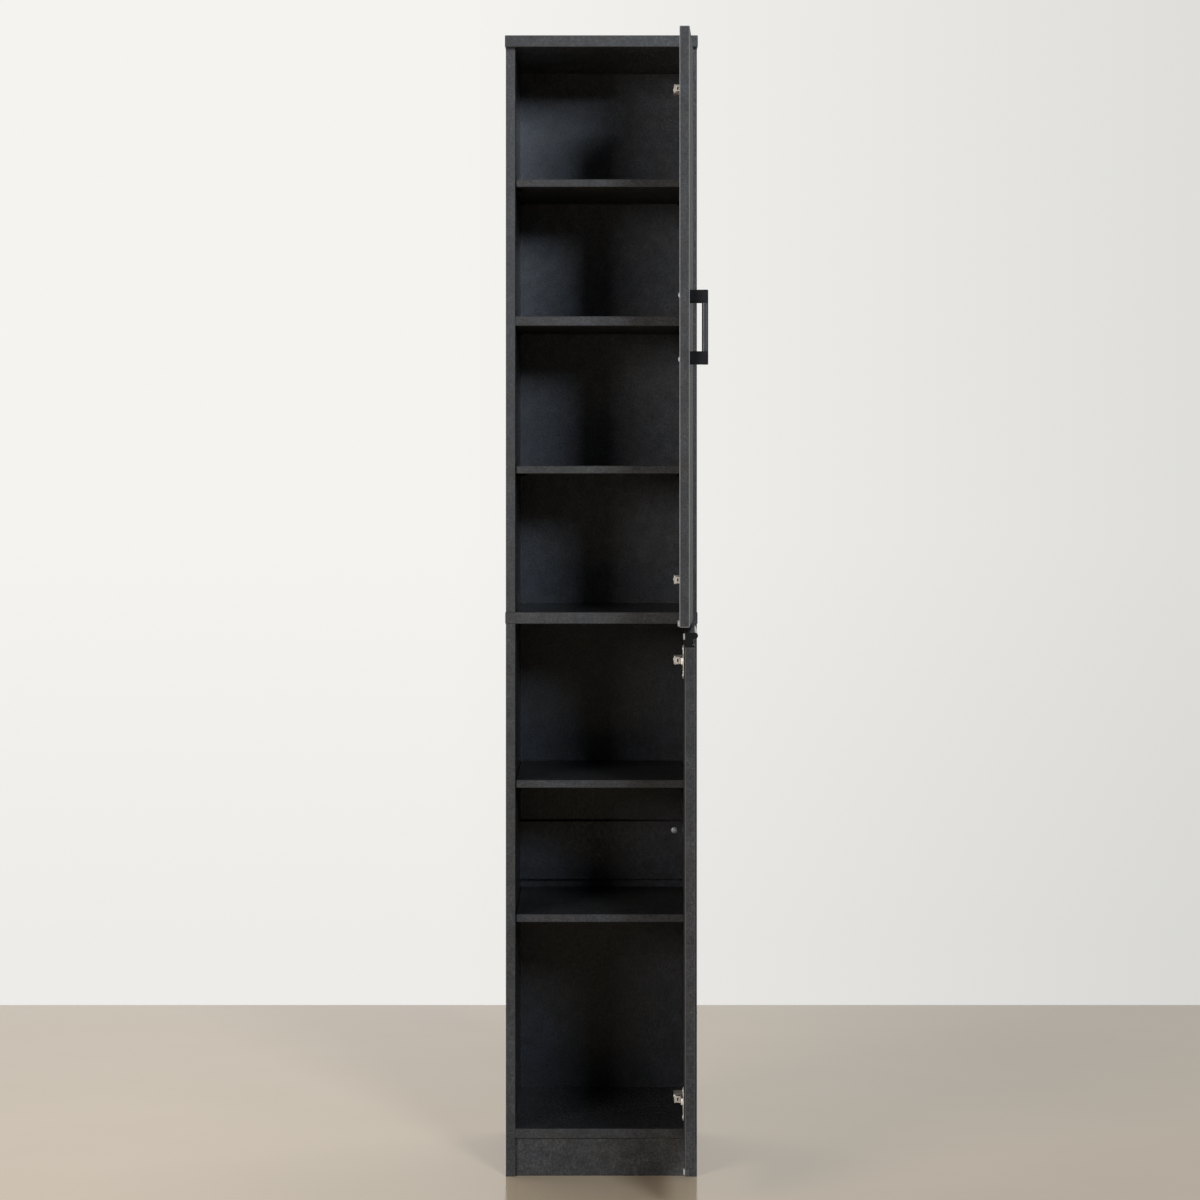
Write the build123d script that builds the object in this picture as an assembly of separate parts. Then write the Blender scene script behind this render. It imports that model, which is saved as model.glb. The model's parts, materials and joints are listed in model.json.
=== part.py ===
"""Tall narrow pantry cabinet of dark stone-look board.

Two carcasses are stacked on one middle board. Each has shelves inside and its own door, which swings on
concealed cup hinges at the right-hand side. The doors are modelled closed and then swung to where they rest.
x runs to the right, y to the back and z up from the floor. The origin is on the floor, under the plinth.
"""

import os

from build123d import *

# Boards, in millimetres
body_width = 300.0
body_depth = 382.0
side_thickness = 15.0
cap_thickness = 18.0
cap_overhang = 1.0
top_overhang_front = 18.0
floor_thickness = 15.0
back_thickness = 3.0
back_rebate = 7.0
back_play = 0.4
board_bevel = 0.8

# Lower section, heights from the floor
lower_height = 868.0
plinth_height = 60.0
plinth_thickness = 15.0
plinth_setback = 6.0
rail_height = 97.0
rail_thickness = 15.0
rail_above_shelf = 14.0

# Upper section
upper_height = 886.0
fixed_shelf_height = 450.0

# Movable shelves, heights of their undersides above the floor of their own section
shelf_thickness = 12.0
shelf_setback = 5.0
shelf_side_gap = 1.5
shelf_back_gap = 2.0
upper_low_shelf_height = 218.0
upper_high_shelf_height = 668.5
lower_low_shelf_height = 324.0
lower_high_shelf_height = 535.0

# Shelf pins and their rows of holes
pin_radius = 2.5
pin_collar_radius = 3.6
pin_collar_thickness = 1.2
pin_in_panel = 8.0
pin_under_shelf = 9.0
pin_from_shelf_edge = 40.0
pin_row_pitch = 32.0

# Dowels
dowel_radius = 4.0
dowel_in_side = 10.0
dowel_in_board = 20.0
dowel_in_top = 11.0
dowel_in_side_end = 22.0
dowel_from_front = 55.0
dowel_from_back = 62.0
plinth_dowel_from_edge = 18.0
rail_dowel_from_edge = 34.0

# Doors
door_thickness = 15.0
door_gap = 3.0
door_reveal = 2.0
door_bevel = 1.0
upper_door_below_top = 1.0
upper_door_over_middle = 10.3
lower_door_below_floor_board = 1.0
upper_door_open = 87.45
lower_door_open = 89.1

# Bridge handle on the upper door
handle_length = 112.0
handle_projection = 27.2
handle_bar_thickness = 9.4
handle_bar_width = 11.0
handle_bar_chamfer = 2.2
handle_leg_height = 20.0
handle_leg_bevel = 0.6
handle_screw_spacing = 96.0
handle_from_free_edge = 30.0
handle_above_door_bottom = 391.8

# Edge pull along the top of the lower door
pull_height = 22.0
pull_base = 2.0
pull_wall = 3.5
pull_lip_height = 9.0
pull_lip_nose = 4.3
pull_nose_thickness = 2.6
pull_undercut = 4.0
pull_cap_thickness = 2.0
pull_cap_setback = 3.5
pull_screw_count = 3
pull_screw_inset = 40.0

# Bumpers on the inner faces of the doors
bumper_radius = 5.0
bumper_air = 0.3
bumper_bevel = 0.8
bumper_from_free_edge = 7.0
bumper_from_door_end = 6.0

# Concealed hinges
hinge_from_door_end = 61.0
hinge_below_pull = 58.0
pivot_from_door_edge = 9.1
pivot_below_face = 10.2
hinge_pin_radius = 1.1
hinge_pin_half_length = 9.4
cup_bore_radius = 17.5
cup_from_door_edge = 4.0
cup_depth = 13.0
cup_wall = 1.0
cup_floor = 0.7
cup_rim_width = 0.8
flange_thickness = 1.2
flange_length = 52.0
flange_width = 14.0
flange_offset = 6.0
flange_corner = 4.0
lug_reach = 3.2
lug_above_pivot = 3.0
arm_neck_width = 10.0
arm_neck_thickness = 1.8
arm_side_play = 0.2
arm_eye_radius = 2.0
arm_elbow_reach = 13.6
arm_bend_radius = 1.6
arm_shoulder_depth = 3.0
arm_height = 20.3
arm_width = 13.0
arm_end_depth = 54.0
arm_leg_thickness = 1.2
arm_leg_slope = 14.0
plate_thickness = 1.5
plate_length = 52.0
plate_width = 14.0
plate_block_height = 7.0
plate_block_start = 24.0
plate_screw_depth = 38.0

# Screws
screw_head_bevel = 0.4
wood_screw_radius = 1.75
wood_screw_depth = 10.0
wood_screw_head_radius = 3.3
wood_screw_head_height = 1.5
wood_screw_from_end = 5.0
flange_head_height = 1.4
machine_screw_radius = 2.0
machine_screw_head_radius = 4.0
machine_screw_head_height = 2.6
machine_screw_grip = 12.0
rail_washer_radius = 5.6
rail_washer_thickness = 1.6
rail_washer_chamfer = 0.8
rail_screw_head_radius = 4.2
rail_screw_head_height = 1.4
rail_screw_from_side = 13.0
rail_screw_below_top = 15.0

# Clearances
fit_clearance = 0.05
end_clearance = 0.5

# Flats that stand for the rounds of small repeated pieces and their holes, of discs and of hinge cups
small_flat_count = 8
disc_flat_count = 24
cup_flat_count = 28

# Levels and planes that follow from the sizes above
front_y = -(plinth_thickness / 2 + plinth_setback)
back_y = front_y + body_depth
back_face_y = back_y - back_thickness
half_width = body_width / 2
inner_half = half_width - side_thickness
lower_floor_z = plinth_height + floor_thickness
upper_floor_z = lower_height + cap_thickness
upper_roof_z = upper_floor_z + upper_height
top_z = upper_roof_z + cap_thickness

door_face_y = front_y - door_gap
door_outer_y = door_face_y - door_thickness
door_edge_x = half_width - door_reveal
upper_door_z = (upper_floor_z - upper_door_over_middle, upper_roof_z - upper_door_below_top)
lower_door_z = (plinth_height - lower_door_below_floor_board, lower_height - pull_height)
lower_door_whole_z = (lower_door_z[0], lower_height)

pivot_x = door_edge_x - pivot_from_door_edge
pivot_y = door_face_y - pivot_below_face
swing_axis = Axis((pivot_x, pivot_y, 0), (0, 0, 1))


# Helpers

def block(x, y, z):
    """Box given as a (low, high) pair on each axis."""
    spans = (x, y, z)
    centre = [(low + high) / 2 for low, high in spans]
    return Pos(*centre) * Box(*[high - low for low, high in spans])


def rod(start, direction, radius, length):
    """Cylinder that starts at a point and runs along a direction."""
    base = Plane(origin=start, z_dir=direction)
    return base * Cylinder(radius, length, align=(Align.CENTER, Align.CENTER, Align.MIN))


def peg(start, direction, radius, length, flats=small_flat_count):
    """Round piece, drawn with a few flats because there are many like it."""
    base = Plane(origin=start, z_dir=direction)
    return base * extrude(RegularPolygon(radius, flats), length)


def hole(start, direction, radius, length):
    """Cut for a peg of that radius and length, with its clearances."""
    return peg(start, direction, radius + fit_clearance, length + end_clearance)


def cut(body, tools):
    """Body with every tool taken out of it."""
    for tool in tools:
        body -= tool
    return body


def soft_front(board, axis):
    """Ease the two long front edges of a board, where the edge band shows."""
    return chamfer(board.edges().filter_by(axis).group_by(Axis.Y)[0], board_bevel)


def headed_screw(seat, direction, head_radius, head_height, shank_radius, length):
    """Pan-head screw: its head stands on the seat and its shank runs along the direction."""
    head = peg(seat, -direction, head_radius, head_height)
    head = chamfer(head.faces().sort_by(Axis(seat, direction))[0].edges(), screw_head_bevel)
    return head + peg(seat, direction, shank_radius, length)


def write(name, *solids):
    """Write one node: a piece, or a group of like pieces."""
    shape = solids[0] if len(solids) == 1 else Compound(children=list(solids))
    export_step(shape, f"parts/{name}.step")


def swing_open(shape, angle):
    """Turn a closed door's piece about the hinge axis to where it rests."""
    return shape.rotate(swing_axis, angle)


RIGHT, BACK, UP = Vector(1, 0, 0), Vector(0, 1, 0), Vector(0, 0, 1)


# Dowels: each joint is a list of (start, direction, length), used for the pegs and for their holes

dowel_ys = (front_y + dowel_from_front, back_y - dowel_from_back)


def sideways_pegs(places):
    """Pegs that run in from both sides, at each (y, z) place."""
    length = dowel_in_side + dowel_in_board
    start_x = inner_half + dowel_in_side
    return [(Vector(s * start_x, y, z), -s * RIGHT, length) for s in (-1, 1) for y, z in places]


def flat_joint(z):
    """Pegs into the ends of a level board between the sides."""
    return sideways_pegs([(y, z) for y in dowel_ys])


def upright_joint(z_low, z_high):
    """Pegs that stand in the edges of both sides."""
    side_mid = half_width - side_thickness / 2
    return [(Vector(s * side_mid, y, z_low), UP, z_high - z_low) for s in (-1, 1) for y in dowel_ys]


def end_joint(y, z, from_edge):
    """Pegs into the ends of an upright board between the sides."""
    return sideways_pegs([(y, z[0] + from_edge), (y, z[1] - from_edge)])


def peg_holes(joint):
    """Cuts for the pegs of a joint, a little long at both ends."""
    return [
        peg(start - along * end_clearance, along, dowel_radius + fit_clearance, length + 2 * end_clearance)
        for start, along, length in joint
    ]


fixed_shelf_z = (upper_floor_z + fixed_shelf_height, upper_floor_z + fixed_shelf_height + floor_thickness)
rail_low = lower_floor_z + lower_low_shelf_height + shelf_thickness + rail_above_shelf
rail_z = (rail_low, rail_low + rail_height)
rail_y = (back_face_y - rail_thickness, back_face_y)

joints = {
    "top": upright_joint(upper_roof_z - dowel_in_side_end, upper_roof_z + dowel_in_top),
    "middle": upright_joint(lower_height - dowel_in_side_end, upper_floor_z + dowel_in_side_end),
    "fixed_shelf": flat_joint(sum(fixed_shelf_z) / 2),
    "bottom": flat_joint(plinth_height + floor_thickness / 2),
    "plinth": end_joint(0, (0, plinth_height), plinth_dowel_from_edge),
    "rail": end_joint(sum(rail_y) / 2, rail_z, rail_dowel_from_edge),
}


# Shelves: undersides of the movable ones, and the pins under them

shelf_undersides = {
    "upper_high_shelf": upper_floor_z + upper_high_shelf_height,
    "upper_low_shelf": upper_floor_z + upper_low_shelf_height,
    "lower_high_shelf": lower_floor_z + lower_high_shelf_height,
    "lower_low_shelf": lower_floor_z + lower_low_shelf_height,
}
shelf_y = (front_y + shelf_setback, back_face_y - shelf_back_gap)
pin_ys = (shelf_y[0] + pin_from_shelf_edge, shelf_y[1] - pin_from_shelf_edge)


def shelf(underside):
    """Loose shelf with rounded front edges."""
    reach = inner_half - shelf_side_gap
    board = block((-reach, reach), shelf_y, (underside, underside + shelf_thickness))
    return soft_front(board, Axis.X)


def shelf_pins(underside):
    """Four pins with collars, which carry one shelf."""
    z = underside - pin_radius - fit_clearance
    pins = []
    for side in (-1, 1):
        for y in pin_ys:
            seat = Vector(side * inner_half, y, z)
            inward = -side * RIGHT
            stem = peg(seat - inward * pin_in_panel, inward, pin_radius, pin_in_panel + pin_under_shelf)
            collar = peg(seat, inward, pin_collar_radius, pin_collar_thickness)
            above = (z + pin_radius, z + 2 * pin_collar_radius)
            collar -= block((-half_width, half_width), (front_y, back_y), above)
            pins.append(stem + collar)
    return pins


def pin_holes(side, names):
    """Short rows of holes in a side panel, above and below each pin."""
    holes = []
    for name in names:
        z = shelf_undersides[name] - pin_radius - fit_clearance
        for step in (-1, 0, 1):
            for y in pin_ys:
                mouth = Vector(side * inner_half, y, z + step * pin_row_pitch)
                holes.append(hole(mouth, side * RIGHT, pin_radius, pin_in_panel))
    return holes


# Hinges: places along z, and their fixings in the right-hand side

def hinge_heights(door_z, below_top):
    """Heights of a door's two hinges, from its lower and its upper end."""
    return door_z[0] + hinge_from_door_end, door_z[1] - below_top


hinges = {
    "upper": dict(zip(("low", "high"), hinge_heights(upper_door_z, hinge_from_door_end))),
    "lower": dict(zip(("low", "high"), hinge_heights(lower_door_whole_z, hinge_below_pull))),
}
plate_y = front_y + plate_screw_depth
plate_screw_offset = plate_length / 2 - wood_screw_from_end


def plate_screw_seats(z):
    """Points on a mounting plate where its two screws sit."""
    x = inner_half - plate_thickness
    return [Vector(x, plate_y, z + s * plate_screw_offset) for s in (-1, 1)]


def plate_screw_holes(section):
    """Blind holes in the right-hand side for both plates of one section."""
    seats = [seat for z in hinges[section].values() for seat in plate_screw_seats(z)]
    return [hole(seat, RIGHT, wood_screw_radius, plate_thickness + wood_screw_depth) for seat in seats]


# Carcass boards

def side_panel(side, z, cuts):
    """Side panel with its rebate for the back panel, its peg holes and its fixings."""
    x = sorted((side * inner_half, side * half_width))
    board = soft_front(block(x, (front_y, back_y), z), Axis.Z)
    rebate_x = sorted((side * inner_half, side * (inner_half + back_rebate)))
    board -= block(rebate_x, (back_face_y, back_y), z)
    return cut(board, cuts)


def pegs_at(side, *names):
    """Peg holes of the named joints that fall in one side."""
    return peg_holes([peg for name in names for peg in joints[name] if peg[0].X * side > 0])


def cap_board(front, z, joint):
    """Board that lies over both sides and stands a little past them, eased all round."""
    reach = half_width + cap_overhang
    board = block((-reach, reach), (front, back_y), z)
    return cut(chamfer(board.edges(), board_bevel), peg_holes(joints[joint]))


def inner_board(y, z, joint):
    """Board that is held between the two sides."""
    board = soft_front(block((-inner_half, inner_half), y, z), Axis.X)
    return cut(board, peg_holes(joints[joint]))


def back_panel(z):
    """Thin back that sits in the rebates of the sides, close against the boards above and below."""
    reach = inner_half + back_rebate - back_play
    return block((-reach, reach), (back_face_y, back_y), z)


rail_screw_seat = Vector(inner_half - rail_screw_from_side, rail_y[0], rail_z[1] - rail_screw_below_top)
rail_screw_length = rail_thickness + back_thickness - end_clearance
rail_screw_cut = hole(rail_screw_seat, BACK, wood_screw_radius, rail_screw_length)


def make_carcass():
    """Write every piece that stays still."""
    write("top_board", cap_board(front_y - top_overhang_front, (upper_roof_z, top_z), "top"))
    write("middle_board", cap_board(front_y, (lower_height, upper_floor_z), "middle"))
    write("bottom_board", inner_board((front_y, back_face_y), (plinth_height, lower_floor_z), "bottom"))
    write("plinth", inner_board((-plinth_thickness / 2, plinth_thickness / 2), (0, plinth_height), "plinth"))
    write("fixed_shelf", inner_board((front_y, back_face_y), fixed_shelf_z, "fixed_shelf"))
    write("back_rail", inner_board(rail_y, rail_z, "rail") - rail_screw_cut)
    write("upper_back", back_panel((upper_floor_z, upper_roof_z)))
    write("lower_back", back_panel((plinth_height, lower_height)) - rail_screw_cut)

    for name, side in (("left", -1), ("right", 1)):
        upper_cuts = pegs_at(side, "top", "middle", "fixed_shelf")
        upper_cuts += pin_holes(side, ("upper_high_shelf", "upper_low_shelf"))
        lower_cuts = pegs_at(side, "middle", "bottom", "plinth", "rail")
        lower_cuts += pin_holes(side, ("lower_high_shelf", "lower_low_shelf"))
        if name == "right":
            upper_cuts += plate_screw_holes("upper")
            lower_cuts += plate_screw_holes("lower")
        write(f"upper_{name}_side", side_panel(side, (upper_floor_z, upper_roof_z), upper_cuts))
        write(f"lower_{name}_side", side_panel(side, (0, lower_height), lower_cuts))

    for name, joint in joints.items():
        write(f"{name}_dowels", *[peg(start, along, dowel_radius, length) for start, along, length in joint])

    for name, underside in shelf_undersides.items():
        write(name, shelf(underside))
    for section in ("upper", "lower"):
        undersides = [z for name, z in shelf_undersides.items() if name.startswith(section)]
        write(f"{section}_shelf_pins", *[pin for z in undersides for pin in shelf_pins(z)])

    screw_seat = rail_screw_seat - BACK * rail_washer_thickness
    washer = peg(rail_screw_seat, -BACK, rail_washer_radius, rail_washer_thickness, disc_flat_count)
    washer = chamfer(washer.faces().sort_by(Axis.Y)[0].edges(), rail_washer_chamfer)
    write("rail_washer", washer - hole(screw_seat, BACK, wood_screw_radius, rail_washer_thickness))
    write("rail_screw", headed_screw(screw_seat, BACK, rail_screw_head_radius, rail_screw_head_height,
                                     wood_screw_radius, rail_screw_length + rail_washer_thickness))


# Hinge pieces, with the door closed

cup_x = door_edge_x - cup_from_door_edge - cup_bore_radius
cup_radius = cup_bore_radius - fit_clearance
flange_x = cup_x - flange_offset
flange_face_y = door_face_y + flange_thickness
flange_screw_offset = flange_length / 2 - wood_screw_from_end
arm_top_x = inner_half - arm_height
plate_top_x = inner_half - plate_thickness
arm_screw_length = arm_height - plate_thickness


def flange_screw_seats(z):
    """Points on a cup's flange where its two screws sit."""
    return [Vector(flange_x, flange_face_y, z + s * flange_screw_offset) for s in (-1, 1)]


def hinge_cup(z):
    """Pressed cup with its flange, and two lugs inside that hold the pivot pin."""
    floor_centre = Vector(cup_x, door_face_y - cup_depth, z)
    shell = peg(floor_centre, BACK, cup_radius, cup_depth, cup_flat_count)
    rim_radius = cup_bore_radius + cup_rim_width
    rim = peg(Vector(cup_x, door_face_y, z), BACK, rim_radius, flange_thickness, cup_flat_count)
    wing = block(
        (flange_x - flange_width / 2, flange_x + flange_width / 2),
        (door_face_y, flange_face_y),
        (z - flange_length / 2, z + flange_length / 2),
    )
    wing = chamfer(wing.edges().filter_by(Axis.Y), flange_corner)
    mouth_depth = cup_depth + flange_thickness
    mouth = peg(floor_centre + BACK * cup_floor, BACK, cup_radius - cup_wall, mouth_depth, cup_flat_count)
    cup = shell + rim + wing - mouth

    lug_gap = arm_neck_width / 2 + arm_side_play
    lug = block(
        (pivot_x - lug_reach, pivot_x + lug_reach),
        (door_face_y - cup_depth, pivot_y + lug_above_pivot),
        (z - cup_radius, z + cup_radius),
    )
    lug -= block((pivot_x - lug_reach, pivot_x + lug_reach), (pivot_y - cup_depth, door_face_y),
                 (z - lug_gap, z + lug_gap))
    cup += lug & shell
    holes = [hole(seat, -BACK, wood_screw_radius, flange_thickness) for seat in flange_screw_seats(z)]
    return cut(cup, [hinge_pin(z)] + holes)


def hinge_pin(z):
    """Pivot pin, held in the lugs of the cup."""
    foot = Vector(pivot_x, pivot_y, z - hinge_pin_half_length)
    return peg(foot, UP, hinge_pin_radius, 2 * hinge_pin_half_length)


def hinge_arm(z):
    """Gooseneck arm: an eye on the pin, a neck out of the cup's mouth, and a channel over the plate."""
    elbow_x = pivot_x - arm_elbow_reach
    web_x = arm_top_x + arm_neck_thickness / 2
    shoulder_y = front_y + arm_shoulder_depth
    web_y = shoulder_y + (elbow_x - web_x)
    end_y = front_y + arm_end_depth
    route = FilletPolyline(
        (pivot_x, pivot_y), (elbow_x, pivot_y), (elbow_x, shoulder_y), (web_x, web_y), (web_x, end_y),
        radius=arm_bend_radius,
    )
    strip = Pos(0, 0, z) * extrude(trace(route, arm_neck_thickness), arm_neck_width / 2, both=True)
    eye_foot = Vector(pivot_x, pivot_y, z - arm_neck_width / 2)
    eye = peg(eye_foot, UP, arm_eye_radius, arm_neck_width, disc_flat_count)

    across = (z - arm_width / 2, z + arm_width / 2)
    web = block((arm_top_x, arm_top_x + arm_neck_thickness), (web_y, end_y), across)
    leg_outline = make_face(Polyline(
        (arm_top_x, web_y), (arm_top_x, end_y), (plate_top_x, end_y), (plate_top_x, web_y + arm_leg_slope),
        (arm_top_x + arm_neck_thickness, web_y), close=True,
    ))
    legs = [
        Pos(0, 0, z + offset) * extrude(leg_outline, arm_leg_thickness)
        for offset in (-arm_width / 2, arm_width / 2 - arm_leg_thickness)
    ]
    arm = strip + eye + web + legs[0] + legs[1]
    arm -= rod(eye_foot, UP, hinge_pin_radius + fit_clearance, arm_neck_width)
    return arm - hole(Vector(arm_top_x, plate_y, z), RIGHT, machine_screw_radius, arm_neck_thickness)


def hinge_plate(z):
    """Mounting plate on the side panel: two screwed wings and a raised block inside the arm."""
    wings = block(
        (plate_top_x, inner_half),
        (plate_y - plate_width / 2, plate_y + plate_width / 2),
        (z - plate_length / 2, z + plate_length / 2),
    )
    wings = chamfer(wings.edges().filter_by(Axis.X), flange_corner)
    block_half = arm_width / 2 - arm_leg_thickness - fit_clearance
    bed_y = (front_y + plate_block_start, front_y + arm_end_depth)
    bed = block((inner_half - plate_block_height, inner_half), bed_y, (z - block_half, z + block_half))
    footing = block((plate_top_x, inner_half), bed_y, (z - arm_width / 2, z + arm_width / 2))
    screw = hole(Vector(arm_top_x, plate_y, z), RIGHT, machine_screw_radius, arm_screw_length)
    holes = [hole(seat, RIGHT, wood_screw_radius, plate_thickness) for seat in plate_screw_seats(z)]
    return cut(wings + bed + footing, holes + [screw])


def make_hinges():
    """Write the hinge pieces: plates and arms stay with the carcass, cups and pins go with the doors."""
    for section, open_angle in (("upper", upper_door_open), ("lower", lower_door_open)):
        heights = hinges[section]
        for place, z in heights.items():
            write(f"{section}_{place}_hinge_plate", hinge_plate(z))
            write(f"{section}_{place}_hinge_arm", hinge_arm(z))
            write(f"{section}_{place}_hinge_cup", swing_open(hinge_cup(z), open_angle))
            write(f"{section}_{place}_hinge_pin", swing_open(hinge_pin(z), open_angle))

        plate_screws = [
            headed_screw(seat, RIGHT, wood_screw_head_radius, wood_screw_head_height, wood_screw_radius,
                         plate_thickness + wood_screw_depth)
            for z in heights.values() for seat in plate_screw_seats(z)
        ]
        arm_screws = [
            headed_screw(Vector(arm_top_x, plate_y, z), RIGHT, wood_screw_head_radius, wood_screw_head_height,
                         machine_screw_radius, arm_screw_length)
            for z in heights.values()
        ]
        write(f"{section}_plate_screws", *plate_screws, *arm_screws)

        cup_screws = [
            headed_screw(seat, -BACK, wood_screw_head_radius, flange_head_height, wood_screw_radius,
                         flange_thickness + wood_screw_depth)
            for z in heights.values() for seat in flange_screw_seats(z)
        ]
        write(f"{section}_cup_screws", *[swing_open(screw, open_angle) for screw in cup_screws])


# Doors

def hinge_bores(section):
    """Cuts in a door for its two hinge cups and their screws."""
    cuts = []
    for z in hinges[section].values():
        bore_mouth = Vector(cup_x, door_face_y, z)
        cuts.append(peg(bore_mouth, -BACK, cup_bore_radius, cup_depth + fit_clearance, cup_flat_count))
        cuts += [hole(seat, -BACK, wood_screw_radius, flange_thickness + wood_screw_depth)
                 for seat in flange_screw_seats(z)]
    return cuts


def door_slab(z):
    """Door panel with all its edges eased."""
    slab = block((-door_edge_x, door_edge_x), (door_outer_y, door_face_y), z)
    return chamfer(slab.edges(), door_bevel)


def bumper(z):
    """Round stick-on bumper on the inner face, near the free edge."""
    seat = Vector(-door_edge_x + bumper_from_free_edge, door_face_y, z)
    disc = peg(seat, BACK, bumper_radius, door_gap - bumper_air, disc_flat_count)
    return chamfer(disc.faces().sort_by(Axis.Y)[-1].edges(), bumper_bevel)


handle_x = -door_edge_x + handle_from_free_edge
handle_z = upper_door_z[0] + handle_above_door_bottom
handle_span = (handle_z, handle_z + handle_length)
handle_screw_zs = [sum(handle_span) / 2 + s * handle_screw_spacing / 2 for s in (-1, 1)]


def door_handle():
    """Bridge handle: a bar with bevelled edges on two square legs."""
    half = handle_bar_width / 2
    bar_y = (door_outer_y - handle_projection, door_outer_y - handle_projection + handle_bar_thickness)
    bar = block((handle_x - half, handle_x + half), bar_y, handle_span)
    bar = chamfer(bar.edges().filter_by(Axis.Z), handle_bar_chamfer)
    legs = []
    leg_y = (sum(bar_y) / 2, door_outer_y)
    for low in (handle_span[0], handle_span[1] - handle_leg_height):
        leg = block((handle_x - half, handle_x + half), leg_y, (low, low + handle_leg_height))
        legs.append(chamfer(leg.edges().filter_by(Axis.Y), handle_leg_bevel))
    holes = [hole(Vector(handle_x, door_outer_y, z), -BACK, machine_screw_radius, machine_screw_grip)
             for z in handle_screw_zs]
    return cut(bar + legs[0] + legs[1], holes)


def make_upper_door():
    """Write the upper door with its handle, its screws and its bumper."""
    screw_length = door_thickness + machine_screw_grip
    seats = [Vector(handle_x, door_face_y, z) for z in handle_screw_zs]
    door = cut(door_slab(upper_door_z), hinge_bores("upper"))
    door = cut(door, [hole(seat, -BACK, machine_screw_radius, screw_length) for seat in seats])
    screws = [headed_screw(seat, -BACK, machine_screw_head_radius, machine_screw_head_height,
                           machine_screw_radius, screw_length) for seat in seats]
    stop = bumper(upper_door_z[0] + bumper_from_door_end)
    write("upper_door", swing_open(door, upper_door_open))
    write("door_handle", swing_open(door_handle(), upper_door_open))
    write("handle_screws", *[swing_open(screw, upper_door_open) for screw in screws])
    write("upper_bumper", swing_open(stop, upper_door_open))


pull_low, pull_high = lower_door_z[1], lower_height
pull_end_x = door_edge_x - pull_cap_thickness
pull_seat_z = pull_low + pull_base
lip_low = pull_high - pull_lip_height
pull_nose_y = door_outer_y - pull_lip_nose


def pull_outline(filled):
    """Section of the pull in the y-z plane: base, back wall and a rounded lip, undercut for the fingers."""
    nose_radius = pull_lip_height / 2
    bead_y = pull_nose_y + nose_radius
    outline = [
        Line((door_face_y, pull_low), (door_face_y, pull_high)),
        Line((door_face_y, pull_high), (bead_y, pull_high)),
        RadiusArc((bead_y, pull_high), (bead_y, lip_low), -nose_radius),
    ]
    if filled:
        cap_y = door_outer_y + pull_cap_setback
        corners = [(bead_y, lip_low), (cap_y, lip_low), (cap_y, pull_low)]
    else:
        hook_y = bead_y + pull_nose_thickness
        wall_y = door_face_y - pull_wall
        roof_z = lip_low + pull_undercut
        corners = [(bead_y, lip_low), (hook_y, lip_low), (hook_y, roof_z), (wall_y, roof_z),
                   (wall_y, pull_seat_z), (door_outer_y, pull_seat_z), (door_outer_y, pull_low)]
    outline.append(Polyline(*corners, (door_face_y, pull_low)))
    return make_face(outline)


def along_door(section, x_low, x_high):
    """Section in the y-z plane, drawn out between two places across the door."""
    return extrude(Plane((x_low, 0, 0), x_dir=(0, 1, 0), z_dir=(1, 0, 0)) * section, x_high - x_low)


def eased_cap(cap):
    """End cap of the pull with its inner corner bevelled, as the door's is, so that it clears the side."""
    corner = cap.edges().filter_by(Axis.Z).sort_by(lambda edge: abs(edge.center().X) + edge.center().Y)[-1]
    return chamfer(corner, door_bevel)


def make_lower_door():
    """Write the lower door with its edge pull, the pull's caps and screws, and its bumpers."""
    span = pull_end_x - pull_screw_inset
    xs = [-span + 2 * span * i / (pull_screw_count - 1) for i in range(pull_screw_count)]
    screw_y = (door_outer_y + door_face_y - pull_wall) / 2
    seats = [Vector(x, screw_y, pull_seat_z) for x in xs]
    screw_length = pull_base + wood_screw_depth

    door = cut(door_slab(lower_door_z), hinge_bores("lower"))
    door = cut(door, [hole(seat, -UP, wood_screw_radius, screw_length) for seat in seats])
    pull = along_door(pull_outline(filled=False), -pull_end_x, pull_end_x)
    pull = cut(pull, [hole(seat, -UP, wood_screw_radius, pull_base) for seat in seats])
    cap = pull_outline(filled=True)
    caps = [eased_cap(along_door(cap, -door_edge_x, -pull_end_x)),
            eased_cap(along_door(cap, pull_end_x, door_edge_x))]
    screws = [headed_screw(seat, -UP, wood_screw_head_radius, wood_screw_head_height,
                           wood_screw_radius, screw_length) for seat in seats]
    stops = [bumper(z) for z in (lower_door_z[0] + bumper_from_door_end, pull_high - bumper_from_door_end)]

    write("lower_door", swing_open(door, lower_door_open))
    write("lower_pull", swing_open(pull, lower_door_open))
    write("pull_end_caps", *[swing_open(piece, lower_door_open) for piece in caps])
    write("pull_screws", *[swing_open(screw, lower_door_open) for screw in screws])
    write("lower_bumpers", *[swing_open(stop, lower_door_open) for stop in stops])


os.makedirs("parts", exist_ok=True)
make_carcass()
make_hinges()
make_upper_door()
make_lower_door()
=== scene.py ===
# %% [markdown]
# # A tall pantry cabinet of dark stone-look board
#
# The cabinet is two slim carcasses on top of each other, each with shelves and a door that stands open. Its
# boards come ready from the CAD frame, in their places. This lesson gives them their finish, makes the
# small fittings that repeat, and sets up a plain studio around them. All lengths are in metres.

# %% Load the frame
import json
import math

import bmesh
import bpy
import numpy as np
from mathutils import Matrix, Vector


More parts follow.
